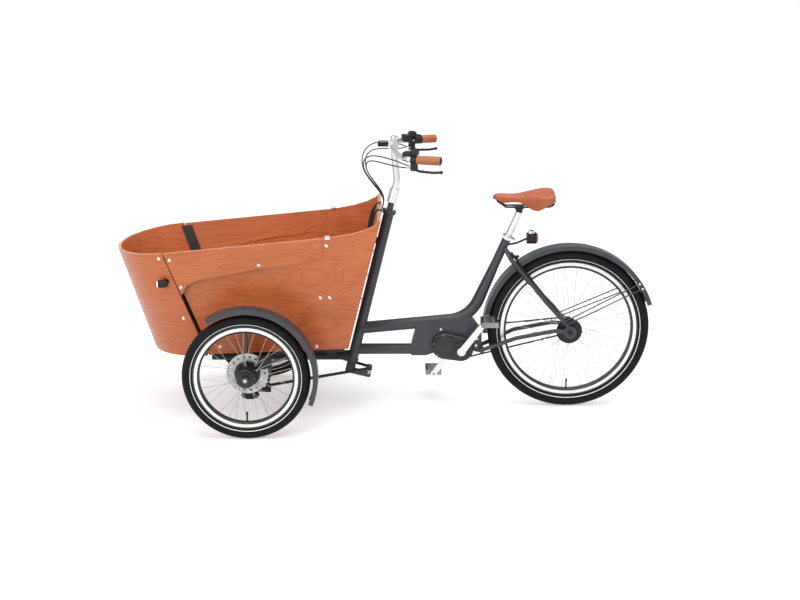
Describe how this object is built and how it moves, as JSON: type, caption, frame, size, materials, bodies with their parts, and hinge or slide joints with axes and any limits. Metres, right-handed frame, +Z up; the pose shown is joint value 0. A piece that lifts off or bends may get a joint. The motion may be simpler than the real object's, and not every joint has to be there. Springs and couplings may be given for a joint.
{
  "type": "cargo tricycle",
  "caption": "Front-loading cargo tricycle with a bent plywood box between two leaning front wheels, a mid-mounted motor and a belt drive to one rear wheel.",
  "frame": {"origin": "on the ground, below the middle of the machine's length and width", "axes": "+X towards the rear, +Y to the rider's right, +Z up"},
  "size_m": [2.1256, 0.856, 1.094],
  "materials": {
    "frame_paint": "satin powder coat",
    "subframe_paint": "satin black",
    "box_ply": "lacquered orange-brown ply",
    "bench_ply": "lacquered ply",
    "webbing": "woven black",
    "silver": "satin",
    "steel": "brushed",
    "black_plastic": "fine grain",
    "motor_paint": "charcoal coat",
    "tyre_rubber": "matte",
    "belt_rubber": "matte",
    "tan_leather": "satin",
    "red_lens": "clear red",
    "lamp_glass": "clear",
    "cable": "smooth sheath",
    "drum": "black anodised"
  },
  "bodies": {
    "frame": {"head_tube": "frame_paint", "head_bearings": "steel", "main_beam": "frame_paint", "lower_beam": "frame_paint", "rear_stays": "frame_paint", "box_subframe": "subframe_paint", "box_floor": "box_ply", "box_front_panel": "box_ply", "box_side_panels": "box_ply", "box_rear_panel": "box_ply", "box_fittings": "steel", "bench_board": "bench_ply", "harness_straps": "webbing", "headlamps": "black_plastic", "motor_housing": "motor_paint", "seat_clamp": "silver", "rear_mudguard": "frame_paint", "ring_lock": "black_plastic", "rear_lamp": "black_plastic", "lamp_lens": "red_lens", "drive_belt": "belt_rubber", "rear_brake": "drum"},
    "steering": {"steering_column": "frame_paint", "handlebar": "silver", "grips": "tan_leather", "bar_controls": "black_plastic", "control_cables": "cable"},
    "left_brake_lever": {"left_brake_lever": "subframe_paint"},
    "right_brake_lever": {"right_brake_lever": "subframe_paint"},
    "twist_shifter": {"twist_shifter": "black_plastic"},
    "seat": {"seatpost": "silver", "saddle_rails": "subframe_paint", "saddle_pad": "tan_leather"},
    "quick_release": {"quick_release_lever": "silver"},
    "lock_lever": {"lock_lever": "black_plastic"},
    "lower_arm": {"lower_arm": "subframe_paint"},
    "upper_arm": {"upper_arm": "subframe_paint"},
    "cranks": {"crankset": "silver"},
    "left_pedal": {"left_pedal": "black_plastic"},
    "right_pedal": {"right_pedal": "black_plastic"},
    "rear_sprocket": {"rear_sprocket": "steel"},
    "rear_wheel": {"rear_tyre": "tyre_rubber", "rear_rim": "silver", "rear_hub": "steel"},
    "left_upright": {"left_upright": "subframe_paint"},
    "left_knuckle": {"left_knuckle": "subframe_paint", "left_front_mudguard": "frame_paint"},
    "left_front_wheel": {"left_front_tyre": "tyre_rubber", "left_front_rim": "silver", "left_front_hub": "steel"},
    "left_rod_end": {"left_rod_end": "steel"},
    "left_drag_link": {"left_drag_link": "subframe_paint"},
    "right_upright": {"right_upright": "subframe_paint"},
    "right_knuckle": {"right_knuckle": "subframe_paint", "right_front_mudguard": "frame_paint"},
    "right_front_wheel": {"right_front_tyre": "tyre_rubber", "right_front_rim": "silver", "right_front_hub": "steel"},
    "right_rod_end": {"right_rod_end": "steel"},
    "right_drag_link": {"right_drag_link": "subframe_paint"}
  },
  "joints": [
    {"name": "steering_turn", "type": "hinge", "parent": "frame", "child": "steering", "pos_m": [-0.1902, 0, 0], "axis": [0.238, 0, 0.9713], "range_deg": [-20, 20], "deforming": ["control_cables"]},
    {"name": "lean", "type": "hinge", "parent": "frame", "child": "lower_arm", "pos_m": [-0.5347, 0, 0.13], "axis": [1, 0, 0], "range_deg": [-12, 12]},
    {"name": "upper_arm_lean", "type": "hinge", "parent": "frame", "child": "upper_arm", "pos_m": [-0.5347, 0, 0.215], "axis": [1, 0, 0], "range_deg": [-12, 12]},
    {"name": "crank_spin", "type": "hinge", "parent": "frame", "child": "cranks", "pos_m": [0.2973, 0, 0.251], "axis": [0, 1, 0], "continuous": true},
    {"name": "sprocket_spin", "type": "hinge", "parent": "frame", "child": "rear_sprocket", "pos_m": [0.7323, 0, 0.327], "axis": [0, 1, 0], "continuous": true},
    {"name": "rear_wheel_spin", "type": "hinge", "parent": "frame", "child": "rear_wheel", "pos_m": [0.7323, 0, 0.327], "axis": [0, 1, 0], "continuous": true},
    {"name": "left_pedal_spin", "type": "hinge", "parent": "cranks", "child": "left_pedal", "pos_m": [0.40286, -0.07, 0.39058], "axis": [0, 1, 0], "continuous": true},
    {"name": "right_pedal_spin", "type": "hinge", "parent": "cranks", "child": "right_pedal", "pos_m": [0.19174, 0.07, 0.11142], "axis": [0, 1, 0], "continuous": true},
    {"name": "seat_height", "type": "slide", "parent": "frame", "child": "seat", "axis": [0.3994, 0, 0.9168], "range_m": [-0.06, 0.05]},
    {"name": "quick_release_swing", "type": "hinge", "parent": "frame", "child": "quick_release", "pos_m": [0.50346, -0.0273, 0.69397], "axis": [0.3994, 0, 0.9168], "range_deg": [0, 150]},
    {"name": "lock_lever_slide", "type": "slide", "parent": "frame", "child": "lock_lever", "axis": [0, 1, 0], "range_m": [0, 0.02]},
    {"name": "left_brake_pull", "type": "hinge", "parent": "steering", "child": "left_brake_lever", "pos_m": [0.10002, -0.26376, 1.02], "axis": [-0.3486, -0.9373, 0], "range_deg": [0, 10], "stiffness_Nm_per_rad": 1.2, "springref_deg": -8.59},
    {"name": "left_upright_pivot", "type": "hinge", "parent": "lower_arm", "child": "left_upright", "pos_m": [-0.5347, -0.248, 0.13], "axis": [1, 0, 0], "range_deg": [-12, 12]},
    {"name": "left_kingpin", "type": "hinge", "parent": "left_upright", "child": "left_knuckle", "pos_m": [-0.5347, -0.29, 0], "axis": [0, 0, 1], "range_deg": [-20, 20]},
    {"name": "left_front_wheel_spin", "type": "hinge", "parent": "left_knuckle", "child": "left_front_wheel", "pos_m": [-0.5347, -0.38, 0.244], "axis": [0, 1, 0], "continuous": true},
    {"name": "left_rod_end_turn", "type": "hinge", "parent": "steering", "child": "left_rod_end", "pos_m": [-0.0788, -0.012, 0.13949], "axis": [0.238, 0, 0.9713], "range_deg": [-20, 20]},
    {"name": "left_link_rock", "type": "hinge", "parent": "left_rod_end", "child": "left_drag_link", "pos_m": [-0.07342, -0.012, 0.16144], "axis": [0.6004, -0.7997, 0], "range_deg": [-6.5, 6.5]},
    {"name": "right_brake_pull", "type": "hinge", "parent": "steering", "child": "right_brake_lever", "pos_m": [0.10002, 0.26376, 1.02], "axis": [0.3486, -0.9373, 0], "range_deg": [0, 10], "stiffness_Nm_per_rad": 1.2, "springref_deg": -8.59},
    {"name": "twist_shift", "type": "hinge", "parent": "steering", "child": "twist_shifter", "pos_m": [0.0719, 0.2533, 1.056], "axis": [0.9373, 0.3486, 0], "range_deg": [-45, 45]},
    {"name": "right_upright_pivot", "type": "hinge", "parent": "lower_arm", "child": "right_upright", "pos_m": [-0.5347, 0.248, 0.13], "axis": [1, 0, 0], "range_deg": [-12, 12]},
    {"name": "right_kingpin", "type": "hinge", "parent": "right_upright", "child": "right_knuckle", "pos_m": [-0.5347, 0.29, 0], "axis": [0, 0, 1], "range_deg": [-20, 20]},
    {"name": "right_front_wheel_spin", "type": "hinge", "parent": "right_knuckle", "child": "right_front_wheel", "pos_m": [-0.5347, 0.38, 0.244], "axis": [0, 1, 0], "continuous": true},
    {"name": "right_rod_end_turn", "type": "hinge", "parent": "steering", "child": "right_rod_end", "pos_m": [-0.0788, 0.012, 0.13949], "axis": [0.238, 0, 0.9713], "range_deg": [-20, 20]},
    {"name": "right_link_rock", "type": "hinge", "parent": "right_rod_end", "child": "right_drag_link", "pos_m": [-0.07342, 0.012, 0.16144], "axis": [0.6004, 0.7997, 0], "range_deg": [-6.5, 6.5]}
  ],
  "couplings": [
    {"joint": "upper_arm_lean", "follows": "lean", "ratio": 1},
    {"joint": "sprocket_spin", "follows": "crank_spin", "ratio": 2},
    {"joint": "left_upright_pivot", "follows": "lean", "ratio": -1},
    {"joint": "left_kingpin", "follows": "steering_turn", "ratio": 1},
    {"joint": "left_rod_end_turn", "follows": "steering_turn", "ratio": -1},
    {"joint": "left_link_rock", "follows": "lean", "ratio": 0.51343},
    {"joint": "right_upright_pivot", "follows": "lean", "ratio": -1},
    {"joint": "right_kingpin", "follows": "steering_turn", "ratio": 1},
    {"joint": "right_rod_end_turn", "follows": "steering_turn", "ratio": -1},
    {"joint": "right_link_rock", "follows": "lean", "ratio": 0.51343}
  ]
}
